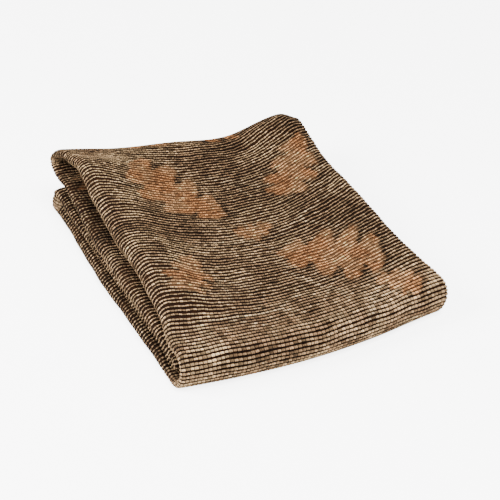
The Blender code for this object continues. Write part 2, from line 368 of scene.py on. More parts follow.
@dataclass
class FoldedBand:
    """The fold as a table: the band's middle surface by rib coordinate and share of the width.

    The rib coordinate runs along the band in millimetres, 0 at the foremost line. A rib lies at one value
    of it, so it holds how the ribs bow and wander.
    """

    share_count: int = 81
    step: float = 1.0
    thick_spans: int = 110  # stations along a thick leaf
    thin_spans: int = 90
    fold_steps: int = 48
    inner_steps: int = 20
    sag_run: float = 200.0  # length behind the front fold over which the ribs' sag grows
    sag_end: float = 150.0  # and length past the roll over which it goes
    wander: float = 1.1  # how far a rib strays from its line
    wander_waves: tuple = (
        Wave(1.0, 2.3, 31.0, 0.7),
        Wave(0.8, 4.1, -19.0, 2.1),
        Wave(0.5, 7.3, 47.0, 4.0),
    )
    side_wave: float = 0.5  # how far the side edges stray
    side_shift: float = 411.0  # how far along the right one's waves are shifted
    shares: np.ndarray = field(init=False)
    table: np.ndarray = field(init=False)
    first: float = field(init=False)
    marks: dict = field(init=False)

    def __post_init__(self) -> None:
        """Works the table out."""
        self.shares = np.linspace(0.0, 1.0, self.share_count)
        stations, starts = self.stations()
        middle, normal = self.surface(stations)
        rib = self.rib_coordinate(stations, middle, normal, starts)
        self.marks = {name: float(rib[:, k].mean()) for name, k in starts.items()}
        self.lay_table(rib, middle, normal, stations)

    def stations(self) -> tuple:
        """The band's stations, from one loose end to the other.

        Returns:
            The stations in each column, and the index at which each stretch starts.
        """
        share = self.shares[:, None]
        bow = across(FRONT_BOW, share)
        front = WRAP_START + bow
        inner_front = INNER_FRONT + bow
        back = LEAF_BACK + across(BACK_BOW, share)

        def run(leaf: LeafShape, start: np.ndarray, end: np.ndarray, spans: int) -> np.ndarray:
            """The stations of a leaf from one depth to another."""
            return leaf(share, start + (end - start) * np.linspace(0, 1, spans + 1))

        floor_tip = self.loose_end(self.floor, share, back)
        floor = run(self.floor, back, front, self.thick_spans)
        cover = run(self.cover, front, np.full_like(front, ROLL_START), self.thick_spans)
        third = run(self.third, np.full_like(front, ROLL_RETURN), inner_front, self.thin_spans)
        second = run(self.second, inner_front, back, self.thin_spans)
        second_tip = self.loose_end(self.second, share, back)[:, ::-1]
        wrap = self.large_fold(floor[:, -1:], cover[:, :1], WRAP_FRONT + bow, SQUARENESS, 0.0)
        reach = ROLL_START + across(ROLL_REACH, share)
        roll = self.large_fold(cover[:, -1:], third[:, :1], reach, 1.0, ROLL_SWING)
        inner = self.inner_fold(third[:, -1:], second[:, :1])
        parts = (
            (Stretch.FLOOR, np.concatenate([floor_tip, floor], axis=1)),
            (Stretch.FRONT, wrap),
            (Stretch.COVER, cover),
            (Stretch.ROLL, roll),
            (Stretch.THIRD, third),
            (Stretch.INNER, inner),
            (Stretch.SECOND, np.concatenate([second, second_tip], axis=1)),
        )
        starts = {}
        count = 0
        for name, part in parts:
            starts[name] = count
            count += part.shape[1]
        return np.concatenate([part for _, part in parts], axis=1), starts

    def floor(self, share: np.ndarray, depth: np.ndarray) -> np.ndarray:
        """Stations of the floor leaf."""
        return FLOOR_LEAF.stations(share, depth, np.zeros_like(depth))

    def second(self, share: np.ndarray, depth: np.ndarray) -> np.ndarray:
        """Stations of the second leaf, which lies on the floor leaf."""
        return SECOND_LEAF.stations(share, depth, FLOOR_LEAF.thick(share, depth) + GAP)

    def third(self, share: np.ndarray, depth: np.ndarray) -> np.ndarray:
        """Stations of the third leaf, which rises to the roll behind.

        Args:
            share: places across the width, from 0 to 1.
            depth: places from the front to the back.

        Returns:
            A station for each place.
        """
        second = self.second(share, depth)
        top = second[..., 1] + second[..., 2] / 2
        return THIRD_LEAF.stations(share, depth, top + GAP + profile(THIRD_RISE, share, depth))

    def cover(self, share: np.ndarray, depth: np.ndarray) -> np.ndarray:
        """Stations of the cover leaf, with its creases.

        Args:
            share: places across the width, from 0 to 1.
            depth: places from the front to the back.

        Returns:
            A station for each place.
        """
        stations = COVER_LEAF.stations(share, depth, np.zeros_like(depth))
        height = profile(COVER_HEIGHT, share, depth)
        for crease in CREASES:
            height = height + crease.lift(share * WIDTH, depth)
        stations[..., 1] = height
        return stations

    def loose_end(self, leaf: LeafShape, share: np.ndarray, start: np.ndarray) -> np.ndarray:
        """The rounded stations of a loose end.

        Args:
            leaf: the leaf that ends there.
            share: places across the width, from 0 to 1.
            start: the depth in each column at which the rounding starts.

        Returns:
            The stations from the tip to there.
        """
        last = leaf(share, start)
        turn = np.radians(TIP_TURNS)
        thick = last[..., 2]
        stations = np.repeat(last, len(turn), axis=1)
        stations[..., 0] = start + END_REACH * thick * np.cos(turn)
        stations[..., 2] = thick * np.sin(turn)
        return stations

    def large_fold(
        self, before: np.ndarray, after: np.ndarray, reach: np.ndarray, power: float, swing: float
    ) -> np.ndarray:
        """The half turn between two leaves that lie well apart.

        Args:
            before: the last station of the leaf that it leaves.
            after: the first station of the leaf that it runs into.
            reach: its outermost depth in each column.
            power: how square it is.
            swing: how far its left side stands out at its outermost place.

        Returns:
            The turn's stations.
        """
        turn = np.pi * np.arange(1, self.fold_steps) / self.fold_steps
        part = (1 - np.cos(turn)) / 2
        stations = before + (after - before) * part[None, :, None]
        root = stations[..., 0]
        stations[..., 0] = root + (reach - root) * np.sin(turn) ** power
        stations[..., 3] -= swing * np.sin(turn)
        return stations

    def inner_fold(self, before: np.ndarray, after: np.ndarray) -> np.ndarray:
        """The tight half turn at the front, from the third leaf to the second.

        Args:
            before: the last station of the third leaf.
            after: the first station of the second leaf.

        Returns:
            The turn's stations.
        """
        part = np.arange(1, self.inner_steps) / self.inner_steps
        pivot = after[..., 1] + after[..., 2] / 2 + GAP / 2
        stations = before + (after - before) * part[None, :, None]
        radius = (stations[..., 2] + GAP) / 2
        stations[..., 0] = before[..., 0] - radius * np.sin(np.pi * part)
        stations[..., 1] = pivot + radius * np.cos(np.pi * part)
        return stations

    def surface(self, stations: np.ndarray) -> tuple:
        """The middle surface between the band's two sides.

        Args:
            stations: the band's stations in each column.

        Returns:
            Its points, and its normals, which point to the band's outer side.
        """
        depth, height, thick, left, right = np.moveaxis(stations, -1, 0)
        inset = EDGE_REACH * thick
        x = left + inset + (right - left - 2 * inset) * self.shares[:, None]
        middle = np.stack([x, depth, height], axis=-1)
        side = np.gradient(middle, axis=0)
        along = np.gradient(middle, axis=1)
        normal = np.cross(side, along)
        normal /= np.linalg.norm(normal, axis=-1, keepdims=True)
        return middle, normal

    def rib_coordinate(
        self, stations: np.ndarray, middle: np.ndarray, normal: np.ndarray, starts: dict
    ) -> np.ndarray:
        """The rib coordinate: the length along whichever side is outside in a bend.

        Args:
            stations: the band's stations in each column.
            middle: the middle surface's points.
            normal: its normals.
            starts: the index at which each stretch starts.

        Returns:
            The rib coordinate of every station.
        """
        half = normal * stations[..., 2:3] / 2
        steps = np.maximum(
            np.linalg.norm(np.diff(middle + half, axis=1), axis=-1),
            np.linalg.norm(np.diff(middle - half, axis=1), axis=-1),
        )
        length = np.concatenate([np.zeros((len(steps), 1)), np.cumsum(steps, axis=1)], axis=1)
        foremost = (starts[Stretch.FRONT] + starts[Stretch.COVER]) // 2
        length -= length[:, foremost : foremost + 1]
        front = length[:, :1]
        length = np.where(length < 0, length * front.mean() / front, length)
        turned = starts[Stretch.THIRD]
        rolled = length[:, turned : turned + 1]
        last = length[:, -1:]
        spread = rolled + (length - rolled) * (last.mean() - rolled) / (last - rolled)
        spread[:, : turned + 1] = length[:, : turned + 1]
        return spread + self.bowed(spread, rolled.mean())

    def bowed(self, rib: np.ndarray, rolled: float) -> np.ndarray:
        """How far the ribs' lines lead the length along the band, from their sag and their wander.

        Args:
            rib: the length along the band, in each column.
            rolled: the length at the end of the roll.

        Returns:
            The lead at each station.
        """
        share = self.shares[:, None]
        grow = soft_step(rib / self.sag_run) * soft_step((rolled + self.sag_end - rib) / self.sag_end)
        sag = across(SAG, share) * grow
        turns = 2 * np.pi * share
        stray = sum(
            wave.height * np.sin(wave.turns * turns + rib / wave.run + wave.phase)
            for wave in self.wander_waves
        )
        return sag + self.wander * stray / 2

    def lay_table(
        self, rib: np.ndarray, middle: np.ndarray, normal: np.ndarray, stations: np.ndarray
    ) -> None:
        """Reads every column at even steps of the rib coordinate, and sets the fold over the solid.

        Args:
            rib: the rib coordinate of every station.
            middle: the middle surface's points.
            normal: its normals.
            stations: the band's stations in each column.
        """
        low, high = (np.array(corner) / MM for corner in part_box(NODE))
        half = np.abs(normal[..., 1]) * stations[..., 2] / 2
        depths = middle[..., 1]
        shift_x = (low[0] + high[0]) / 2 - (stations[..., 3].min() + stations[..., 4].max()) / 2
        shift_y = (low[1] + high[1]) / 2 - ((depths - half).min() + (depths + half).max()) / 2
        ends = float(rib[:, 0].max()), float(rib[:, -1].min())
        places = np.arange(ends[0], ends[1], self.step)
        self.first = ends[0]
        left = stations[..., 3] + shift_x
        right = stations[..., 4] + shift_x
        channels = (depths + shift_y, middle[..., 2], *np.moveaxis(normal, -1, 0))
        channels = (*channels, stations[..., 2], left, right)
        self.table = np.empty((len(places), self.share_count, len(channels)))
        for s in range(self.share_count):
            for c, channel in enumerate(channels):
                self.table[:, s, c] = np.interp(places, rib[s], channel[s])
        wave = self.side_wave * self.waves(places)
        self.table[..., LEFT] += wave[:, None]
        self.table[..., RIGHT] += self.side_wave * self.waves(places + self.side_shift)[:, None]

    @staticmethod
    def waves(places: np.ndarray) -> np.ndarray:
        """An uneven wave of about 1 either way along a side edge."""
        short = 0.5 * np.sin(places / 13.0 + 1.0) + 0.3 * np.sin(places / 6.1 + 2.2)
        return short + 0.7 * np.sin(places / 29.0)

    @property
    def last(self) -> float:
        """The rib coordinate at the second leaf's loose end."""
        return self.first + self.step * (len(self.table) - 1)

    def row(self, rib: float) -> np.ndarray:
        """The table's row at a rib coordinate.

        Args:
            rib: the rib coordinate.

        Returns:
            The channels of every column, from the two nearest rows.
        """
        place = np.clip((rib - self.first) / self.step, 0, len(self.table) - 1.001)
        k = int(place)
        return self.table[k] * (k + 1 - place) + self.table[k + 1] * (place - k)

    def ring(self, rib: float, turn: np.ndarray, sink: np.ndarray) -> tuple:
        """Points round the band at a rib coordinate.

        Args:
            rib: the rib coordinate.
            turn: places round the band. -1 to 0 is the left edge, 0 to 1 the outer side, 1 to 2 the right
                edge and 2 to 3 the inner side, whose end at 3 is also -1.
            sink: how deep each point lies under the surface.

        Returns:
            The points in millimetres, and the band's thickness at each.
        """
        turn = np.where(turn < -1, turn + 4, turn)
        share = np.clip(np.where(turn > 2, 3 - turn, turn), 0.0, 1.0)
        row = self.row(rib)
        depth, height, nx, ny, nz, thick, left, right = (
            np.interp(share, self.shares, row[:, c]) for c in range(row.shape[1])
        )
        half = np.maximum(thick / 2 - sink, 0.0)
        inset = 2 * EDGE_REACH * half
        angle = np.pi * (np.select([turn < 0, turn > 1], [turn + 0.5, 1.5 - turn], 0.5))
        angle = np.where(turn > 2, -np.pi / 2, angle)
        low = left + sink + inset
        high = right - sink - inset
        out = inset * np.cos(angle)
        x = low + (high - low) * share + np.select([turn < 0, (turn > 1) & (turn < 2)], [-out, out], 0.0)
        up = half * np.sin(angle)
        points = np.stack([x + nx * up, depth + ny * up, height + nz * up], axis=-1)
        return points, thick


# The printed pattern: a generic one of leaves, twigs and blotches.


def linear(red: float, green: float, blue: float) -> np.ndarray:
    """A colour given as 0 to 255 on a screen, as the linear values that shaders take."""
    screen = np.array([red, green, blue]) / 255
    return np.where(screen <= 0.04045, screen / 12.92, ((screen + 0.055) / 1.055) ** 2.4)


class Dyes(NamedTuple):
    """The print's colours, as worn cloth in soft light."""

    straw: np.ndarray = linear(200, 167, 125)
    tan: np.ndarray = linear(186, 152, 114)
    bark: np.ndarray = linear(144, 112, 82)
    umber: np.ndarray = linear(94, 68, 46)
    twig: np.ndarray = linear(220, 188, 146)
    amber: np.ndarray = linear(236, 178, 124)
    rust: np.ndarray = linear(216, 147, 93)
    ember: np.ndarray = linear(150, 98, 62)


def soaked(colours: np.ndarray) -> np.ndarray:
    """0 to 1 for each colour: how deep it went in between the ribs, which only the rust dyes did."""
    return soft_step((colours[..., :1] - colours[..., 1:2] - 0.2) / 0.14)


def over(under: np.ndarray, dye: np.ndarray, cover: np.ndarray) -> np.ndarray:
    """A dye laid over the colours under it, by how much it covers."""
    return under + (dye - under) * cover[..., None]


@dataclass
class Mottle:
    """Soft blotches of a size, from random values on a lattice."""

    seed: int
    cell: float
    lattice: np.ndarray = field(init=False)

    def __post_init__(self) -> None:
        """Draws the lattice."""
        self.lattice = np.random.default_rng(self.seed).random((97, 97))

    def at(self, x: np.ndarray, y: np.ndarray) -> np.ndarray:
        """How strong the blotches are.

        Args:
            x: places across the cloth.
            y: places along the cloth.

        Returns:
            A value from 0 to 1 at each place.
        """
        gx, gy = np.floor(x / self.cell), np.floor(y / self.cell)
        fx, fy = soft_step(x / self.cell - gx), soft_step(y / self.cell - gy)
        i, j = gx.astype(int) % 97, gy.astype(int) % 97
        k, m = (i + 1) % 97, (j + 1) % 97
        low = self.lattice[i, j] * (1 - fx) + self.lattice[k, j] * fx
        high = self.lattice[i, m] * (1 - fx) + self.lattice[k, m] * fx
        return low * (1 - fy) + high * fy


@dataclass(frozen=True)
class Motif:
    """A figure in the print. It starts at (x, y), and it points its length at a turn in degrees."""

    x: float
    y: float
    length: float
    width: float
    turn: float

    def own(self, x: np.ndarray, y: np.ndarray) -> tuple:
        """Places on the cloth in the motif's own terms.

        Args:
            x: places across the cloth.
            y: places along the cloth.

        Returns:
            How far along it and how far off to its side each place is.
        """
        angle = math.radians(self.turn)
        dx, dy = x - self.x, y - self.y
        return dx * math.cos(angle) + dy * math.sin(angle), dy * math.cos(angle) - dx * math.sin(angle)


@dataclass(frozen=True)
class LeafMotif(Motif):
    """A lobed leaf in the print, from its stem."""

    lobes: int = 4
    depth: float = 0.56  # how deep it is cut between two lobes, as a share of its width

    def paint(self, x: np.ndarray, y: np.ndarray, rough: np.ndarray) -> tuple:
        """Where the leaf is.

        Args:
            x: places across the cloth.
            y: places along the cloth.
            rough: a value from 0 to 1 at each place, which frays the leaf's outline.

        Returns:
            How much the leaf covers and how dark its veins are at each place.
        """
        along, off = self.own(x, y)
        along = along / self.length
        off = off + 0.07 * self.length * np.sin(np.pi * along)
        inside = np.clip(along + 0.16 * np.abs(off) / self.width, 0.0, 1.0)
        notch = (0.5 + 0.5 * np.cos(math.tau * (self.lobes * inside + 0.2 * np.sign(off)))) ** 2
        half = self.width / 2 * np.sin(np.pi * inside**0.85) ** 0.6 * (1 - self.depth * notch)
        cover = soft_step((half - np.abs(off) + 5 * (rough - 0.5)) / 2.0 + 0.5)
        cover = cover * ((along > 0) & (along < 1))
        middle = np.exp(-((off / 1.6) ** 2))
        ribs = 0.5 + 0.5 * np.cos(math.tau * (self.lobes * inside - 0.9 * np.abs(off) / self.width))
        return cover, np.maximum(middle, 0.7 * ribs**5)


@dataclass(frozen=True)
class TwigMotif(Motif):
    """A pale twig in the print, with side shoots."""

    shoots: int = 4

    def paint(self, x: np.ndarray, y: np.ndarray, rough: np.ndarray) -> tuple:
        """Where the twig is.

        Args:
            x: places across the cloth.
            y: places along the cloth.
            rough: the same as a leaf takes. A twig's outline is smooth, so it isn't used.

        Returns:
            How much the twig covers and how dark its bark is at each place.
        """
        along, off = self.own(x, y)
        off = off - (6.0 * np.sin(along / 24 + self.x) + 2.0 * np.sin(along / 9 + self.y))
        cover = self.stroke(along, off, self.length, self.width)
        shade = soft_step(off / self.width + 0.3)
        for k in range(self.shoots):
            root = self.length * (k + 0.7) / (self.shoots + 0.4)
            way = 1 if k % 2 else -1
            lean = math.radians(way * (38 + 9 * (k % 3)))
            s_along = (along - root) * math.cos(lean) + off * math.sin(lean)
            s_off = off * math.cos(lean) - (along - root) * math.sin(lean)
            shoot = self.stroke(s_along, s_off, 0.34 * self.length, 0.6 * self.width)
            cover = np.maximum(cover, shoot)
        return cover, shade

    def stroke(self, along: np.ndarray, off: np.ndarray, length: float, width: float) -> np.ndarray:
        """A stroke that narrows to its tip.

        Args:
            along: how far along the stroke each place is.
            off: how far off to its side.
            length: its length.
            width: its width at its root.

        Returns:
            How much the stroke covers at each place.
        """
        inside = np.clip(along / length, 0.0, 1.0)
        half = width / 2 * (1 - 0.65 * inside)
        return soft_step((half - np.abs(off)) / 2.4 + 0.5) * ((along > 0) & (along < length))


class Layer(NamedTuple):
    """One kind of motif and how it is printed: its dyes, how strong they are, and its shadow's place."""

    motifs: tuple
    dye: np.ndarray
    cover: float
    vein_dye: np.ndarray
    vein_cover: float
    shadow: tuple


@dataclass
class Print:
    """The whole printed pattern, painted by place on the cloth."""

    dyes: Dyes = Dyes()
    rust_leaves: tuple = (
        LeafMotif(256, 92, 128, 92, 142),
        LeafMotif(58, 346, 122, 86, -52),
        LeafMotif(20, 112, 74, 52, 62),
        LeafMotif(210, 262, 98, 70, 48),
        LeafMotif(262, 26, 58, 40, 128),
        LeafMotif(128, 214, 46, 30, 12),
        LeafMotif(160, 400, 96, 64, 24),
        LeafMotif(60, 436, 84, 56, -38),
    )
    brown_leaves: tuple = (
        LeafMotif(20, 212, 74, 46, 40),
        LeafMotif(268, 196, 78, 48, 170),
        LeafMotif(120, 150, 66, 40, -44),
        LeafMotif(190, 44, 70, 44, 168),
        LeafMotif(36, 58, 124, 74, -12),
        LeafMotif(150, 84, 104, 66, 200),
        LeafMotif(224, 128, 92, 60, 246),
        LeafMotif(176, 322, 74, 44, 150),
        LeafMotif(150, 262, 56, 34, 84),
    )
    twigs: tuple = (
        TwigMotif(96, 196, 176, 9, 8),
        TwigMotif(4, 168, 120, 8, -30),
        TwigMotif(140, 318, 130, 8, -20),
        TwigMotif(196, 10, 130, 8, 58),
        TwigMotif(10, 300, 96, 8, 22),
        TwigMotif(40, 66, 120, 7, 8),
        TwigMotif(150, 132, 90, 7, -66),
    )
    repeat: float = 460.0  # the print comes again after this length along the band
    back_shift: float = 137.0  # how far the print on the net's back is shifted from its face's

    def colour(self, x: np.ndarray, y: np.ndarray) -> np.ndarray:
        """The print's colour.

        Args:
            x: places across the cloth, in millimetres.
            y: places along the cloth, in millimetres.

        Returns:
            A linear colour for each place.
        """
        y = y % self.repeat
        dyes = self.dyes
        wide, fine, small = Mottle(3, 44), Mottle(5, 17), Mottle(8, 6)
        rough = small.at(x + 31, y)
        broad = 0.55 * wide.at(x, y) + 0.45 * fine.at(x, y)
        tint = 0.6 * fine.at(y, x) + 0.4 * small.at(x, y)
        dark = soft_step((wide.at(x + 700, y + 90) + 0.5 * fine.at(y, x + 50) - 0.78) / 0.25)
        colour = over(dyes.straw, dyes.tan, soft_step((broad - 0.3) / 0.35))
        colour = over(colour, dyes.bark, 0.8 * soft_step((tint - 0.42) / 0.3))
        colour = over(colour, dyes.umber, 0.5 * dark)
        rust = over(dyes.amber, dyes.rust, soft_step((tint - 0.3) / 0.35))
        layers = (
            Layer(self.brown_leaves, dyes.bark, 0.85, dyes.straw, 0.5, (6, 6)),
            Layer(self.twigs, dyes.twig, 0.7, dyes.bark, 0.5, (2, 5)),
            Layer(self.rust_leaves, rust, 0.85, dyes.ember, 0.4, (6, 6)),
        )
        for layer in layers:
            for motif in layer.motifs:
                cover, vein = motif.paint(x, y, rough)
                shadow, _ = motif.paint(x - layer.shadow[0], y + layer.shadow[1], rough)
                colour = over(colour, dyes.umber, 0.6 * shadow)
                colour = over(colour, layer.dye, layer.cover * cover)
                colour = over(colour, layer.vein_dye, layer.vein_cover * cover * vein)
        return colour

    def round_band(self, x: np.ndarray, place: float, turn: np.ndarray) -> np.ndarray:
        """The print's colour round the band at a rib coordinate. The net's back has its own stretch."""
        outer = (turn > -0.5) & (turn < 1.5)
        return self.colour(x, place + np.where(outer, 0.0, self.back_shift))


# Finishes.


def add(tree: bpy.types.NodeTree, kind: str, inputs: dict | None = None, **settings) -> bpy.types.Node:
    """A new shader node.

    Args:
        tree: the node tree that it goes in.
        kind: its type, without the ShaderNode before it.
        inputs: its inputs by name or number, as feed takes them.
        settings: its other settings.

    Returns:
        The node.
    """
    node = tree.nodes.new("ShaderNode" + kind)
    for name, value in settings.items():
        setattr(node, name, value)
    feed(node, inputs or {})
    return node


def feed(node: bpy.types.Node, inputs: dict) -> None:
    """Sets a node's inputs.

    Args:
        node: the node.
        inputs: a value for each named input, or another node's output to link it to.
    """
    for name, value in inputs.items():
        if isinstance(value, Socket):
            node.id_data.links.new(value, node.inputs[name])
        else:
            node.inputs[name].default_value = value


def calculate(tree: bpy.types.NodeTree, operation: str, *values) -> Socket:
    """The output of a Math node on one to three values or outputs."""
    return add(tree, "Math", dict(enumerate(values)), operation=operation).outputs[0]


def dim(tree: bpy.types.NodeTree, colour: Socket, light: bpy.types.Node) -> Socket:
    """A colour multiplied by a Map Range node's result."""
    inputs = {"Factor": 1.0, 6: colour, 7: light.outputs["Result"]}
    return add(tree, "Mix", inputs, data_type="RGBA", blend_type="MULTIPLY").outputs[2]


def new_group(name: str, inputs: dict, outputs: dict) -> bpy.types.NodeTree:
    """A shader node group with named sockets.

    Args:
        name: the group's name.
        inputs: each input's first value, a number or a colour.
        outputs: each output's kind, such as Vector.

    Returns:
        The group, with a Group Input and a Group Output node.
    """
    group = bpy.data.node_groups.new(name, "ShaderNodeTree")
    for label, value in inputs.items():
        kind = "NodeSocketFloat" if isinstance(value, float) else "NodeSocketColor"
        group.interface.new_socket(label, in_out="INPUT", socket_type=kind).default_value = value
    for label, kind in outputs.items():
        group.interface.new_socket(label, in_out="OUTPUT", socket_type="NodeSocket" + kind)
    group.nodes.new("NodeGroupInput")
    group.nodes.new("NodeGroupOutput")
    return group


def dye_variation() -> bpy.types.NodeTree:
    """A group that fades and stains a colour unevenly: broad washes, and single yarns.

    Returns:
        The group, which takes a colour and gives it back varied.
    """
    inputs = {"Color": (0.5, 0.5, 0.5, 1.0), "Wash": 0.2, "Yarns": 0.3}
    group = new_group("dye_variation", inputs, {"Color": "Color"})
    source = group.nodes["Group Input"].outputs
    place = add(group, "TexCoord").outputs["Object"]
    value = 1.0
    for scale, amount in ((28.0, "Wash"), (620.0, "Yarns")):
        noise = add(group, "TexNoise", {"Vector": place, "Scale": scale, "Detail": 2.0})
        centred = calculate(group, "SUBTRACT", noise.outputs["Fac"], 0.5)
        value = calculate(group, "MULTIPLY_ADD", centred, source[amount], value)
    tone = add(group, "HueSaturation", {"Color": source["Color"], "Value": value})
    feed(group.nodes["Group Output"], {"Color": tone.outputs["Color"]})
    return group


def yarn_relief() -> bpy.types.NodeTree:
    """A group for twisted, fuzzy yarn, which follows the yarn map.

    Returns:
        The group, which gives a normal and the grooves of the twist.
    """
    inputs = {"Turns": 3.0, "Lay": 2.0, "Depth": 0.0004}
    group = new_group("yarn_relief", inputs, {"Normal": "Vector", "Groove": "Float"})
    source = group.nodes["Group Input"].outputs
    yarn = add(group, "SeparateXYZ", {0: add(group, "UVMap", uv_map=YARN_MAP).outputs["UV"]}).outputs
    around = calculate(group, "MULTIPLY", yarn["X"], source["Turns"])
    turns = calculate(group, "MULTIPLY_ADD", yarn["Y"], source["Lay"], around)
    wave = calculate(group, "SINE", calculate(group, "MULTIPLY", turns, math.tau))
    place = add(group, "TexCoord").outputs["Object"]
    fuzz = add(group, "TexNoise", {"Vector": place, "Scale": 2400.0, "Detail": 3.0}).outputs["Fac"]
    height = calculate(group, "MULTIPLY_ADD", wave, 0.35, fuzz)
    relief = add(group, "Bump", {"Strength": 0.8, "Distance": source["Depth"], "Height": height})
    feed(group.nodes["Group Output"], {"Normal": relief.outputs["Normal"], "Groove": height})
    return group


def new_material(name: str) -> bpy.types.Material:
    """A new material with a Principled BSDF.

    Args:
        name: the material's name.

    Returns:
        The material.
    """
    material = bpy.data.materials.new(name)
    material.use_nodes = True
    return material


@dataclass(frozen=True)
class ClothFinish:
    """Printed net cloth, whose colour comes from the print attribute, which holds the print with its
    painted shade, and which is darkened in the grooves of the twist as painted shade.
    """

    name: str
    roughness: float
    sheen: float
    wash: float  # how uneven the dye is in broad washes
    yarns: float  # and from yarn to yarn
    turns: float  # twists of the yarn round a rib
    lay: float  # and for each bead along it
    depth: float  # of the twists, in metres
    groove_dark: float  # how bright the notch between two beads is
    twist_dark: float  # how bright the grooves of the twist are painted: painted shade in them
    rough_stray: float = 0.06  # how far the roughness strays

    def material(self) -> bpy.types.Material:
        """Builds the finish.

        Returns:
            The material.
        """
        finish = new_material(self.name)
        tree = finish.node_tree
        printed, bead = (add(tree, "Attribute", attribute_name=name).outputs for name in ("print", "bead"))
        groups = bpy.data.node_groups
        inputs = {"Color": printed["Color"], "Wash": self.wash, "Yarns": self.yarns}
        dyed = add(tree, "Group", inputs, node_tree=groups["dye_variation"]).outputs
        inputs = {"Turns": self.turns, "Lay": self.lay, "Depth": self.depth}
        relief = add(tree, "Group", inputs, node_tree=groups["yarn_relief"]).outputs
        # Painted shade in the grooves of the twist.
        inputs = {"Value": relief["Groove"], "From Min": 0.1, "From Max": 0.9, "To Min": self.twist_dark}
        colour = dim(tree, dyed["Color"], add(tree, "MapRange", inputs))
        inputs = {"Value": bead["Fac"], "To Min": self.groove_dark}
        colour = dim(tree, colour, add(tree, "MapRange", inputs, interpolation_type="SMOOTHSTEP"))
        least, most = self.roughness - self.rough_stray, self.roughness + self.rough_stray
        rough = add(tree, "MapRange", {"Value": relief["Groove"], "To Min": least, "To Max": most})
        looks = {
            "Base Color": colour,
            "Roughness": rough.outputs["Result"],
            "Normal": relief["Normal"],
            "Sheen Weight": self.sheen,
            "Sheen Roughness": 0.5,
            "Sheen Tint": (0.8, 0.55, 0.3, 1.0),
            "Specular IOR Level": 0.08,
        }
        feed(tree.nodes["Principled BSDF"], looks)
        return finish


RIB_FINISH = ClothFinish(
    name="net_ribs",
    roughness=0.88,
    sheen=0.12,
    wash=0.35,
    yarns=0.5,
    turns=1.0,
    lay=2.0,
    depth=0.0004,
    groove_dark=0.1,
    twist_dark=0.45,
)
UNDER_FINISH = ClothFinish(
    name="net_between_ribs",
    roughness=0.93,
    sheen=0.0,
    wash=0.3,
    yarns=0.6,
    turns=60.0,
    lay=90.0,
    depth=0.0003,
    groove_dark=1.0,
    twist_dark=0.6,
)


# The pieces.


def write_attribute(mesh: bpy.types.Mesh, name: str, kind: str, values: np.ndarray) -> None:
    """Gives each vertex of a mesh a value.

    Args:
        mesh: the mesh.
        name: the attribute's name.
        kind: FLOAT or FLOAT_COLOR.
        values: one number, or one linear colour, for each vertex.
    """
    attribute = mesh.attributes.new(name, kind, "POINT")
    if kind == "FLOAT":
        attribute.data.foreach_set("value", np.ascontiguousarray(values, np.float32))
        return
    colours = np.ones((len(values), 4), np.float32)
    colours[:, :3] = values
    attribute.data.foreach_set("color", colours.ravel())


def write_map(mesh: bpy.types.Mesh, name: str, places: np.ndarray) -> None:
    """Gives each face corner of a mesh its place in a UV map."""
    layer = mesh.uv_layers.new(name=name)
    layer.uv.foreach_set("vector", np.ascontiguousarray(places, np.float32).ravel())


def new_object(name: str, data: bpy.types.ID) -> bpy.types.Object:
    """A new object in the scene.

    Args:
        name: the object's name.
        data: its mesh, curve, lamp or camera.

    Returns:
        The object.
    """
    made = bpy.data.objects.new(name, data)
    bpy.context.scene.collection.objects.link(made)
    return made


def settle(mesh: bpy.types.Mesh, name: str, material: bpy.types.Material) -> bpy.types.Object:
    """Makes a mesh a smooth-shaded piece that rides on the net's body.

    Args:
        mesh: the mesh.
        name: the piece's name.
        material: its finish.

    Returns:
        The piece.
    """
    mesh.materials.clear()
    mesh.materials.append(material)
    mesh.shade_smooth()
    piece = new_object(name, mesh)
    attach(piece, BODY)
    return piece


def read_numbers(things: bpy.types.bpy_prop_collection, name: str) -> np.ndarray:
    """A whole number of each corner or face of a mesh.

    Args:
        things: the mesh's corners or faces.
        name: which of their numbers.

    Returns:
        The numbers.
    """
    numbers = np.empty(len(things), np.int32)
    things.foreach_get(name, numbers)
    return numbers


BEAD_PHASES = {2: (0.0, 0.5), 3: (0.0, 0.18, 0.82)}  # where along a bead a rib has its points


def bead_steps(first: int, last: int, points: int) -> np.ndarray:
    """Places along a rib, in beads, with 2 or 3 points a bead."""
    return (np.arange(first, last + 1)[:, None] + np.array(BEAD_PHASES[points])).ravel()


def bead_parts(bead: np.ndarray) -> tuple:
    """(which bead of its arc a place is on, 1 on a bead or 0 between two) for each place, in beads."""
    whole = np.floor(bead + 0.001)
    return (whole - whole.min()).astype(int), (bead - whole > 0.01).astype(float)


@dataclass(frozen=True)
class Arc:
    """One run of a rib, with a value or a row for each of its points."""

    row: int  # which of its piece's ribs it belongs to
    slack: float  # 0 where the net is stretched and 1 where it lies slack
    bead: np.ndarray  # the place along the rib, in beads
    crest: np.ndarray  # 1 on a bead and 0 between two
    places: np.ndarray
    outward: np.ndarray
    radii: np.ndarray
    colours: np.ndarray


def gathered(arcs: list, name: str) -> np.ndarray:
    """The values of one field of some arcs, for all their points."""
    return np.concatenate([getattr(arc, name) for arc in arcs])


class Spread(NamedTuple):
    """A value that strays at random about its middle, within its limits."""

    middle: float
    stray: float
    least: float
    most: float

    def draw(self, random: np.random.Generator, number: np.ndarray) -> np.ndarray:
        """A value for each bead, by the numbers of the beads that some points are on."""
        values = self.middle + self.stray * random.standard_normal(number.max() + 1)
        return np.clip(values, self.least, self.most)[number]


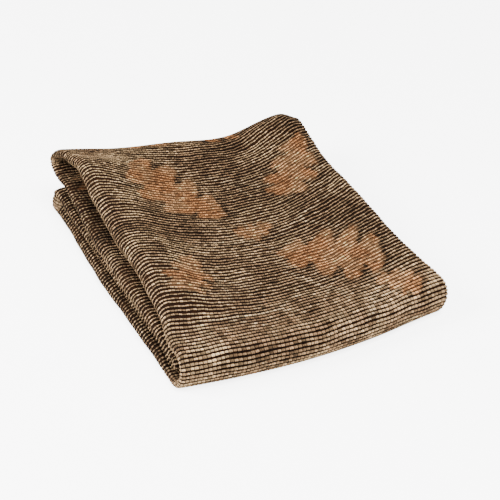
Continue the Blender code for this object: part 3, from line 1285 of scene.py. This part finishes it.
@dataclass(frozen=True)
class RibStretch:
    """Which ribs a piece holds, and how far they run round the band.

    Its ends are rib coordinates. Whole ribs cross the outer side, and the others only reach in from each
    side edge. Behind is the share of the width that they run on along the inner side.
    """

    name: str
    start: float
    end: float
    whole: bool = True
    behind: float = 0.1
    points: int = 3  # for each bead

    def arcs(self, reach: float) -> tuple:
        """How far the arcs of one rib run.

        Args:
            reach: how far a rib that isn't whole reaches in from a side edge.

        Returns:
            The first and last places round the band of each arc.
        """
        if self.whole:
            return ((-1 - self.behind, 2 + self.behind),)
        return (-1 - self.behind, reach), (1 - reach, 2 + self.behind)


class Pitch(NamedTuple):
    """How far apart the ribs lie at one place along the band."""

    place: float
    pitch: float


@dataclass
class RibbedNet:
    """The rolled ribs that cross the band side by side, each a beaded tube."""

    band: FoldedBand
    print: Print
    pitches: tuple = (
        Pitch(-400, 4.8),
        Pitch(-60, 4.7),
        Pitch(0, 4.5),
        Pitch(70, 5.2),
        Pitch(200, 4.8),
        Pitch(290, 4.6),
        Pitch(340, 4.2),
        Pitch(450, 4.3),
        Pitch(600, 4.8),
    )
    radius: float = 0.3  # half of a rib's width at the front, as a share of the pitch
    slack_start: float = 22.0  # how far behind the front the net begins to lie slack
    slack_run: float = 80.0  # and over what length it does
    shrink: float = 0.32  # how much narrower a rib is where it lies slack
    flatness: float = 0.62  # how high a rib is, as a share of its width
    notch: float = 0.68  # a rib's size between two beads, as a share of its full one
    beads: int = 66  # beads across the width
    bead_length: float = 4.35
    bead_size: Spread = Spread(1.0, 0.11, 0.0, 2.0)
    bead_light: Spread = Spread(1.0, 0.37, 0.42, 1.9)
    rib_light: float = 0.04  # how uneven the ribs' brightness is
    print_slip: float = 1.2  # how far the print strays along a rib
    slip: float = 0.07  # how far the notches stray along a rib, as a share of a bead
    stray: float = 0.42  # how far a rib's beads stray from its line
    sides: int = 6
    thin: float = 0.36  # most that a rib's half width is of the band's thickness
    reach: float = 0.1  # how far ribs that aren't whole reach in from a side edge
    back_from: float = 0.85  # how far round a side edge the net's back, with its painted shade, begins
    back_painted_shade: float = 0.7  # painted shade: how bright the net's back is painted, as a share of its face
    rib_painted_shade: tuple = (0.022, 0.011, 0.004)  # painted shade: how bright a rib's inner side is painted, as a share of its outer side
    soak: float = 0.13  # how much lighter that painted shade is where the dye went deep
    edge_length: float = 0.57  # round a side edge, as a share of pi times the thickness
    lit: float = 0.3  # how far down a stretched rib its top is left free of the painted shade
    slack_lit: float = 0.6  # and how much less far down a slack one
    tip_gap: float = 1.5  # how far the last rib of a loose end keeps from its tip
    floor_end: float = 24.0  # length of the piece at the floor leaf's loose end
    front_start: float = -24.0  # where the piece over the front starts
    front_past: float = 8.0  # and how far it runs on over the cover
    third_back: float = 100.0  # how far the third leaf's ribs are whole, from the roll
    second_back: float = 80.0  # and the second leaf's, from its loose end
    second_end: float = 20.0  # length of the piece at the second leaf's loose end
    end_ribs: int = 4  # ribs that close the back end between its two tips
    end_print: float = 0.5  # where the first one's print is, from the floor leaf's tip
    end_print_step: float = 4.0  # and from each to the next
    end_radius: float = 1.85
    # How bright the back end's beads are: random for each bead, and darker on the whole as painted shade.
    end_light: Spread = Spread(0.7, 0.2, 0.4, 1.2)
    end_bulge: float = 1.5  # how far the middle one stands out past the tips
    end_corner: float = 6.0  # how round their corners are
    end_run: float = 14.0  # how far they run on forwards along the sides
    end_tuck: float = 5.0  # how far their tips are tucked in
    end_beads: int = 75
    seed: int = 11

    def stretches(self) -> tuple:
        """The pieces that the ribs are made in.

        Returns:
            The stretches, from the floor leaf's loose end to the second leaf's.
        """
        marks = self.band.marks
        first, last = self.band.first, self.band.last
        front, roll, third, second = (
            marks[name] for name in (Stretch.COVER, Stretch.ROLL, Stretch.THIRD, Stretch.SECOND)
        )
        middle = (front + roll) / 2
        floor, cover = first + self.floor_end, front + self.front_past
        hidden, seen, end = third + self.third_back, last - self.second_back, last - self.second_end
        return (
            RibStretch("ribs_floor_end", first + self.tip_gap, floor, behind=0.5),
            RibStretch("ribs_floor", floor, self.front_start, points=2),
            RibStretch("ribs_front", self.front_start, cover),
            RibStretch("ribs_cover_front", cover, middle),
            RibStretch("ribs_cover_back", middle, roll),
            RibStretch("ribs_roll", roll, third, behind=0.25),
            RibStretch("ribs_third_back", third, hidden, behind=0.12, points=2),
            RibStretch("ribs_third", hidden, second, whole=False, behind=0.12),
            RibStretch("ribs_second", second, seen, whole=False, behind=0.12),
            RibStretch("ribs_second_back", seen, end, behind=0.12, points=2),
            RibStretch("ribs_second_end", end, last - self.tip_gap, behind=0.5),
        )

    def build(self) -> list:
        """Builds every piece of ribs.

        Returns:
            The pieces.
        """
        material = RIB_FINISH.material()
        random = np.random.default_rng(self.seed)
        laid = {stretch.name: self.ribs(stretch, random) for stretch in self.stretches()}
        laid["ribs_back_turn"] = self.back_end(random)
        pieces = []
        for name, arcs in laid.items():
            mesh = self.tubes(name, arcs)
            self.dress(mesh, arcs)
            pieces.append(settle(mesh, name, material))
            LOG.info("%s: %d arcs, %d faces", name, len(arcs), len(mesh.polygons))
        return pieces

    def back_end(self, random: np.random.Generator) -> list:
        """The few ribs that close the back end, from the floor leaf's tip up.

        Args:
            random: what their unevenness is drawn from.

        Returns:
            An arc for each rib.
        """
        bead = bead_steps(0, self.end_beads, 3)
        number, crest = bead_parts(bead)
        radii = self.end_radius * (self.notch + (1 - self.notch) * crest)
        arcs = []
        for row in range(self.end_ribs):
            points, outward = self.end_path((row + 1) / (self.end_ribs + 1), bead / bead.max())
            # Painted shade and a random tone for each bead.
            light = self.end_light.draw(random, number)
            place = self.band.first + self.end_print - self.end_print_step * row
            colours = self.print.colour(bead * self.bead_length, place + 0 * bead) * light[:, None]
            arcs.append(Arc(row, 1.0, bead, crest, points * MM, outward, radii, colours.clip(0.0, 1.0)))
        return arcs

    def end_path(self, part: float, along: np.ndarray) -> tuple:
        """The way of one rib round the back end, whose corners turn forwards along both sides.

        Args:
            part: its place from the floor leaf's tip, at 0, to the second leaf's, at 1.
            along: places along the rib, from 0 to 1.

        Returns:
            Its points, and the outward direction at each.
        """
        share = np.linspace(0.0, 1.0, 41)
        line = [self.band.ring(end, share, 0 * share)[0] for end in (self.band.first, self.band.last)]
        line = line[0] + (line[1] - line[0]) * part
        bulge = self.end_bulge * math.sin(math.pi * part)
        line[:, 0] += (share - 0.5) * 2 * bulge
        line[:, 1] += bulge
        width = line[-1, 0] - line[0, 0]
        corner, run = self.end_corner, self.end_run
        quarter = corner * math.pi / 2
        total = 2 * run + 2 * quarter + width - 2 * corner
        place = along * total
        left = np.clip((place - run) / corner, 0.0, math.pi / 2)
        right = np.clip((place - run - quarter - width + 2 * corner) / corner, 0.0, math.pi / 2)
        straight = np.clip(place - run - quarter, 0.0, width - 2 * corner)
        first, last = np.maximum(run - place, 0.0), np.maximum(place - total + run, 0.0)
        x = corner * (1 - np.cos(left)) + straight + corner * np.sin(right)
        back = corner * (np.sin(left) - 1) - corner * (1 - np.cos(right)) - first - last
        tuck = self.end_tuck * ((first / run) ** 2 - (last / run) ** 2)
        base = [np.interp(x / width, share, line[:, c]) for c in range(3)]
        points = np.stack([base[0] + tuck, base[1] + back, base[2]], axis=-1)
        outward = np.stack([np.sin(right) - np.cos(left), np.sin(left) * np.cos(right), 0 * left], axis=-1)
        return points, outward / np.linalg.norm(outward, axis=-1, keepdims=True)

    def ribs(self, stretch: RibStretch, random: np.random.Generator) -> list:
        """Lays the ribs of a stretch.

        Args:
            stretch: the stretch.
            random: what their unevenness is drawn from.

        Returns:
            Their arcs.
        """
        places = self.rib_places()
        arcs = []
        for row, place in enumerate(places[(places >= stretch.start) & (places < stretch.end)]):
            light = 1 + self.rib_light * random.standard_normal()
            shift = self.print_slip * random.standard_normal()
            for start, end in stretch.arcs(self.reach):
                turn, bead = self.steps(place, start, end, stretch.points, random)
                arcs.append(self.arc(row, place, turn, bead, light, shift, random))
        return arcs

    def pitch(self, place: float) -> float:
        """The rib pitch at a rib coordinate."""
        return float(column(self.pitches, "pitch", place))

    def half_width(self, place: float) -> float:
        """Half of the width of a rib at a rib coordinate."""
        return self.radius * self.pitch(place) * (1 - self.shrink * self.lying(place))

    def lying(self, place: float) -> float:
        """0 where the net is stretched over the front, and 1 where it lies slack behind it."""
        return float(soft_step((abs(place) - self.slack_start) / self.slack_run))

    def rib_places(self) -> np.ndarray:
        """Where the ribs lie, from the foremost line outwards both ways.

        Returns:
            The rib coordinate of every rib.
        """
        onward, back = [0.0], []
        while onward[-1] < self.band.last:
            onward.append(onward[-1] + self.pitch(onward[-1]))
        place = -self.pitch(0.0)
        while place > self.band.first:
            back.append(place)
            place -= self.pitch(place)
        return np.array(back[::-1] + onward)

    def steps(
        self, place: float, start: float, end: float, points: int, random: np.random.Generator
    ) -> tuple:
        """The points along an arc, with the ribs' beads about in line.

        Args:
            place: the rib coordinate.
            start: the arc's first place round the band.
            end: its last.
            points: how many points each bead has.
            random: what the notches' unevenness is drawn from.

        Returns:
            The points' places round the band, and the same in beads.
        """
        thick = self.band.row(place)[[0, -1], THICK]
        edges = np.maximum(np.round(self.edge_length * np.pi * thick / self.bead_length), 1)
        knots = np.array([-2.0, -1.0, 0.0, 1.0, 2.0, 3.0])
        lengths = np.array([self.beads, edges[0], self.beads, edges[1], self.beads])
        beads = np.concatenate([[0.0], np.cumsum(lengths)]) - self.beads - edges[0]
        low, high = np.interp([start, end], knots, beads)
        bead = bead_steps(math.floor(low), math.ceil(high), points)
        bead = bead[(bead >= low) & (bead <= high)]
        notch = np.round(bead).astype(int)
        slip = self.slip * random.standard_normal(np.ptp(notch) + 1)[notch - notch.min()]
        return np.interp(bead + slip, beads, knots), bead

    def arc(
        self,
        row: int,
        place: float,
        turn: np.ndarray,
        bead: np.ndarray,
        light: float,
        shift: float,
        random: np.random.Generator,
    ) -> Arc:
        """One arc of a rib.

        Args:
            row: which of its piece's ribs it belongs to.
            place: the rib coordinate.
            turn: its points' places round the band.
            bead: the same places in beads.
            light: how bright the rib is.
            shift: how far the print strays along it.
            random: what its unevenness is drawn from.

        Returns:
            The arc.
        """
        number, crest = bead_parts(bead)
        size = self.bead_size.draw(random, number)
        light = light * self.bead_light.draw(random, number)
        surface, thick = self.band.ring(place, turn, 0 * turn)
        onward, _ = self.band.ring(place + 1.0, turn, 0 * turn)
        full = np.minimum(self.half_width(place) * size, self.thin * thick)
        points, _ = self.band.ring(place, turn, self.flatness * full)
        outward = surface - points
        outward /= np.linalg.norm(outward, axis=-1, keepdims=True)
        points = (points + (onward - surface) * self.strayed(place, bead, random)[:, None]) * MM
        radii = full * (self.notch + (1 - self.notch) * crest)
        # Painted shade: points on the net's back are darkened.
        behind = (turn < -self.back_from) | (turn > 1 + self.back_from)
        light = np.where(behind, self.back_painted_shade, 1.0) * light
        colours = self.print.round_band(bead * self.bead_length + shift, place, turn) * light[:, None]
        return Arc(row, self.lying(place), bead, crest, points, outward, radii, colours.clip(0.0, 1.0))

    def strayed(self, place: float, bead: np.ndarray, random: np.random.Generator) -> np.ndarray:
        """How far a rib strays from its line, in a long wave and two short ones.

        Args:
            place: the rib coordinate.
            bead: the rib's points, in beads.
            random: what its waves are drawn from.

        Returns:
            The way in millimetres at each point.
        """
        phase, pace = place / 8 + 1.4 * random.standard_normal(), 3.5 + 4 * random.random()
        slack = self.lying(place)
        waves = np.sin(bead / pace + phase) + 0.8 * slack * np.sin(bead * 1.9 + 2 * phase)
        return self.stray * (0.6 + 0.4 * slack) * (waves + 0.5 * np.sin(bead / 1.3 + 3 * phase))

    def tubes(self, name: str, arcs: list) -> bpy.types.Mesh:
        """The ribs as tubes, from a curve with a round bevel.

        Args:
            name: the piece's name.
            arcs: the ribs' arcs.

        Returns:
            One mesh.
        """
        data = bpy.data.curves.new(name, "CURVE")
        data.dimensions = "3D"
        data.bevel_depth = MM
        data.bevel_resolution = self.sides // 2 - 2
        for arc in arcs:
            spline = data.splines.new("POLY")
            spline.points.add(len(arc.bead) - 1)
            spline.points.foreach_set("co", np.c_[arc.places, np.ones(len(arc.bead))].ravel())
            spline.points.foreach_set("radius", arc.radii)
        guide = new_object(name + "_guide", data)
        evaluated = guide.evaluated_get(bpy.context.evaluated_depsgraph_get())
        mesh = bpy.data.meshes.new_from_object(evaluated)
        bpy.data.objects.remove(guide)
        bpy.data.curves.remove(data)
        mesh.name = name
        self.flatten(mesh, arcs)
        self.close_ends(mesh)
        return mesh

    def flatten(self, mesh: bpy.types.Mesh, arcs: list) -> None:
        """Presses each rib to an oval that lies flat on the band, with one of its points outermost.

        Args:
            mesh: the ribs' mesh, whose points are set.
            arcs: the ribs' arcs, in the same order.
        """
        spin = self.spin()[None, :, None]
        ovals = []
        for arc in arcs:
            side = np.cross(np.gradient(arc.places, axis=0), arc.outward)
            side /= np.linalg.norm(side, axis=-1, keepdims=True)
            oval = np.cos(spin) * side[:, None] + self.flatness * np.sin(spin) * arc.outward[:, None]
            ovals.append(arc.places[:, None] + (arc.radii * MM)[:, None, None] * oval)
        mesh.vertices.foreach_set("co", np.concatenate(ovals).astype(np.float32).ravel())

    def spin(self) -> np.ndarray:
        """The angle of each point round a rib, from its side. The first is outermost."""
        return np.pi / 2 + math.tau * np.arange(self.sides) / self.sides

    def close_ends(self, mesh: bpy.types.Mesh) -> None:
        """Closes both ends of every rib, and turns every face outwards.

        Args:
            mesh: the ribs' mesh, with open ends.
        """
        net = bmesh.new()
        net.from_mesh(mesh)
        ends = [edge for edge in net.edges if edge.is_boundary]
        bmesh.ops.holes_fill(net, edges=ends, sides=self.sides)
        bmesh.ops.recalc_face_normals(net, faces=net.faces)
        net.to_mesh(mesh)
        net.free()

    def dress(self, mesh: bpy.types.Mesh, arcs: list) -> None:
        """Paints the print on the ribs with painted shade round their sides, and lays out their maps:
        along a rib by round it.

        Args:
            mesh: the ribs' mesh.
            arcs: the ribs' arcs, in the same order.
        """
        counts = [len(arc.bead) for arc in arcs]
        slack = np.repeat([arc.slack for arc in arcs], counts)[:, None]
        # Painted shade: each rib keeps its print's colour on its top and is darkened round its sides to
        # its inner side, starting further down where it is stretched.
        lift = self.lit - self.slack_lit * slack
        bright = soft_step((np.sin(self.spin()) + lift) / (1 + lift))
        colours = gathered(arcs, "colours")[:, None]
        rib_painted_shade = np.array(self.rib_painted_shade) + self.soak * soaked(colours)
        colours = colours * (rib_painted_shade + (1 - rib_painted_shade) * bright[..., None])
        # The print attribute holds the print with this painted shade multiplied in.
        write_attribute(mesh, "print", "FLOAT_COLOR", colours.reshape(-1, 3))
        write_attribute(mesh, "bead", "FLOAT", gathered(arcs, "crest").repeat(self.sides))
        while mesh.uv_layers:
            mesh.uv_layers.remove(mesh.uv_layers[0])
        # Each rib has a strip of the map, in which its two end caps are small discs.
        corner = read_numbers(mesh.loops, "vertex_index")
        size = read_numbers(mesh.polygons, "loop_total")
        start = read_numbers(mesh.polygons, "loop_start")
        side = (corner % self.sides).astype(float)
        highest = np.maximum.reduceat(side, start).repeat(size)
        lowest = np.minimum.reduceat(side, start).repeat(size)
        cap = (size != 4).repeat(size)
        side[(highest == self.sides - 1) & (lowest == 0) & (side == 0) & ~cap] = self.sides
        ring = corner // self.sides
        row = np.repeat([arc.row for arc in arcs], counts)[ring]
        bead = gathered(arcs, "bead")
        low, high = bead.min() - 0.5, bead.max() + 0.5
        v = (bead[ring] - low) / (high - low)
        u = (row + 0.05 + 0.9 * side / self.sides) / (row.max() + 1)
        spin = math.tau * side / self.sides
        u = np.where(cap, (row + 0.5 + 0.2 * np.cos(spin)) / (row.max() + 1), u)
        end = (bead[ring] > (low + high) / 2) * 2 - 1
        v = np.where(cap, v + end * (0.3 + 0.15 * np.sin(spin)) / (high - low), v)
        write_map(mesh, BAKE_MAP, np.c_[u, v])
        write_map(mesh, YARN_MAP, np.c_[side / self.sides, bead[ring]])


@dataclass
class UnderNet:
    """The net beneath the ribs, one closed sheet on the whole fold, painted near black as the shade
    between them.
    """

    band: FoldedBand
    print: Print
    ribbing: RibbedNet  # the ribs, whose inner sides it touches
    depth: float = 1.9  # how deep it lies, in half heights of a rib
    edge_depth: float = 1.1  # most that it lies under the side edges, in millimetres
    thin: float = 0.28  # most that its depth is of the band's thickness
    # Painted shade: how bright the sheet is painted, as a share of the print, near black; the soak
    # lightens it where the dye went deep.
    sheet_painted_shade: tuple = (0.022, 0.01, 0.003)
    soak: float = 0.12
    face_steps: int = 57
    edge_steps: int = 8
    row_step: float = 4.0
    flat: tuple = (0.285, 1.42)

    def build(self, ribs: list) -> bpy.types.Object:
        """Builds the sheet, and hides the net's solid, which the sheet stands for.

        Args:
            ribs: the pieces of ribs that lie on it.

        Returns:
            The sheet.
        """
        length = self.band.last - self.band.first
        places = np.linspace(self.band.first, self.band.last, round(length / self.row_step))
        turns = np.concatenate(
            [
                np.linspace(-1, 0, self.edge_steps, endpoint=False),
                np.linspace(0, 1, self.face_steps, endpoint=False),
                np.linspace(1, 2, self.edge_steps, endpoint=False),
                np.linspace(2, 3, self.face_steps + 1),
            ]
        )
        mesh = self.sheet(places, turns)
        sheet = settle(mesh, "net_cloth", UNDER_FINISH.material())
        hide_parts(NODE)
        LOG.info("net_cloth: %d faces", len(mesh.polygons))
        return sheet

    def sheet(self, places: np.ndarray, turns: np.ndarray) -> bpy.types.Mesh:
        """Makes the closed sheet, from a flat grid rolled round the band.

        Args:
            places: the rib coordinate of each row.
            turns: the place round the band of each column.

        Returns:
            The sheet's mesh.
        """
        rows, columns = len(places), len(turns)
        points = np.empty((rows, columns, 3))
        colours = np.empty((rows, columns, 3))
        # 1 round the side edges, and 0 on the outer and the inner side.
        edge = soft_step(2.5 * np.clip(1 - np.abs(np.abs(turns - 0.5) - 1) * 2, 0.0, 1.0))
        share = np.where(turns > 2, 3 - turns, np.clip(turns, 0, 1))
        for k, place in enumerate(places):
            _, thick = self.band.ring(place, turns, 0 * turns)
            depth = self.depth * self.ribbing.flatness * self.ribbing.half_width(place)
            depth = depth + (min(self.edge_depth, depth) - depth) * edge
            sink = thick / 2 if k in (0, rows - 1) else np.minimum(depth, self.thin * thick)
            points[k], _ = self.band.ring(place, turns, sink)
            dyed = self.print.round_band(share * WIDTH, place, turns)
            # Painted shade: the print is darkened to near black.
            colours[k] = dyed * (np.array(self.sheet_painted_shade) + self.soak * soaked(dyed))
        net = bmesh.new()
        bmesh.ops.create_grid(net, x_segments=columns - 1, y_segments=rows - 1, size=0.5)
        # The print attribute holds the print darkened as painted shade.
        shade = net.verts.layers.float_color.new("print")
        bead = net.verts.layers.float.new("bead")
        maps = [net.loops.layers.uv.new(name) for name in (BAKE_MAP, YARN_MAP)]
        for face in net.faces:
            for loop in face.loops:
                for layer in maps:
                    loop[layer].uv = loop.vert.co.xy + Vector((0.5, 0.5))
        for vertex in net.verts:
            column = round((vertex.co.x + 0.5) * (columns - 1))
            row = round((vertex.co.y + 0.5) * (rows - 1))
            vertex[shade] = (*colours[row, column], 1.0)
            vertex[bead] = 1.0
            vertex.co = points[row, column] * MM
        bmesh.ops.remove_doubles(net, verts=net.verts, dist=1e-6)
        bmesh.ops.recalc_face_normals(net, faces=net.faces)
        mesh = bpy.data.meshes.new("net_cloth")
        net.to_mesh(mesh)
        net.free()
        return mesh


# The studio.


@dataclass(frozen=True)
class Studio:
    """The floor, the soft light and the camera."""

    azimuth: float = 25.42  # degrees that the camera stands to the left of the front
    elevation: float = 33.62
    distance: float = 1.692
    lens: float = 115.2
    target: tuple = (0.01894, 0.02086, 0.0)
    floor_size: float = 12.0
    glow: float = 5.0  # added to the floor where it is looked at, so that it is near white
    room: float = 0.65  # how bright the pale room is

    def build(self) -> None:
        """Builds the whole studio."""
        self.floor()
        self.light()
        self.camera()

    def floor(self) -> None:
        """A plain pale floor."""
        plane = bmesh.new()
        bmesh.ops.create_grid(plane, x_segments=1, y_segments=1, size=self.floor_size / 2)
        mesh = bpy.data.meshes.new("floor")
        plane.to_mesh(mesh)
        plane.free()
        paint = new_material("floor_paint")
        seen = add(paint.node_tree, "LightPath").outputs["Is Camera Ray"]
        looks = {
            "Base Color": (0.9, 0.9, 0.9, 1.0),
            "Roughness": 0.9,
            "Emission Color": WHITE,
            "Emission Strength": calculate(paint.node_tree, "MULTIPLY", seen, self.glow),
        }
        feed(paint.node_tree.nodes["Principled BSDF"], looks)
        mesh.materials.append(paint)
        new_object("floor", mesh)

    def light(self) -> None:
        """A soft key from the front, a weaker fill from the left, and a pale room."""
        world = bpy.data.worlds.new("room")
        world.use_nodes = True
        feed(world.node_tree.nodes["Background"], {"Color": WHITE, "Strength": self.room})
        bpy.context.scene.world = world
        self.lamp("key", (0.05, -1.1, 1.85), 0.8, 100.0)
        self.lamp("fill", (-1.5, 0.3, 1.1), 1.0, 84.0)

    def lamp(self, name: str, place: tuple, size: float, power: float) -> None:
        """A square area lamp that faces the net.

        Args:
            name: the lamp's name.
            place: where it stands, in metres.
            size: its side, in metres.
            power: its power in watts.
        """
        data = bpy.data.lights.new(name, "AREA")
        data.size = size
        data.energy = power
        lamp = new_object(name, data)
        lamp.location = place
        lamp.rotation_euler = (-Vector(place)).to_track_quat("-Z", "Y").to_euler()

    def camera(self) -> None:
        """The camera at the photograph's angle."""
        data = bpy.data.cameras.new("camera")
        data.lens = self.lens
        camera = new_object("camera", data)
        turn, rise = math.radians(self.azimuth), math.radians(self.elevation)
        ahead = -math.cos(rise)
        away = Vector((math.sin(turn) * ahead, math.cos(turn) * ahead, math.sin(rise)))
        camera.location = Vector(self.target) + away * self.distance
        camera.rotation_euler = (-away).to_track_quat("-Z", "Y").to_euler()
        bpy.context.scene.camera = camera


def main() -> None:
    """Builds the net and the studio."""
    logging.basicConfig(level=logging.INFO, format="%(name)s: %(message)s")
    dye_variation()
    yarn_relief()
    band = FoldedBand()
    pattern = Print()
    ribbing = RibbedNet(band, pattern)
    UnderNet(band, pattern, ribbing).build(ribbing.build())
    Studio().build()


if __name__ == "__main__":
    main()
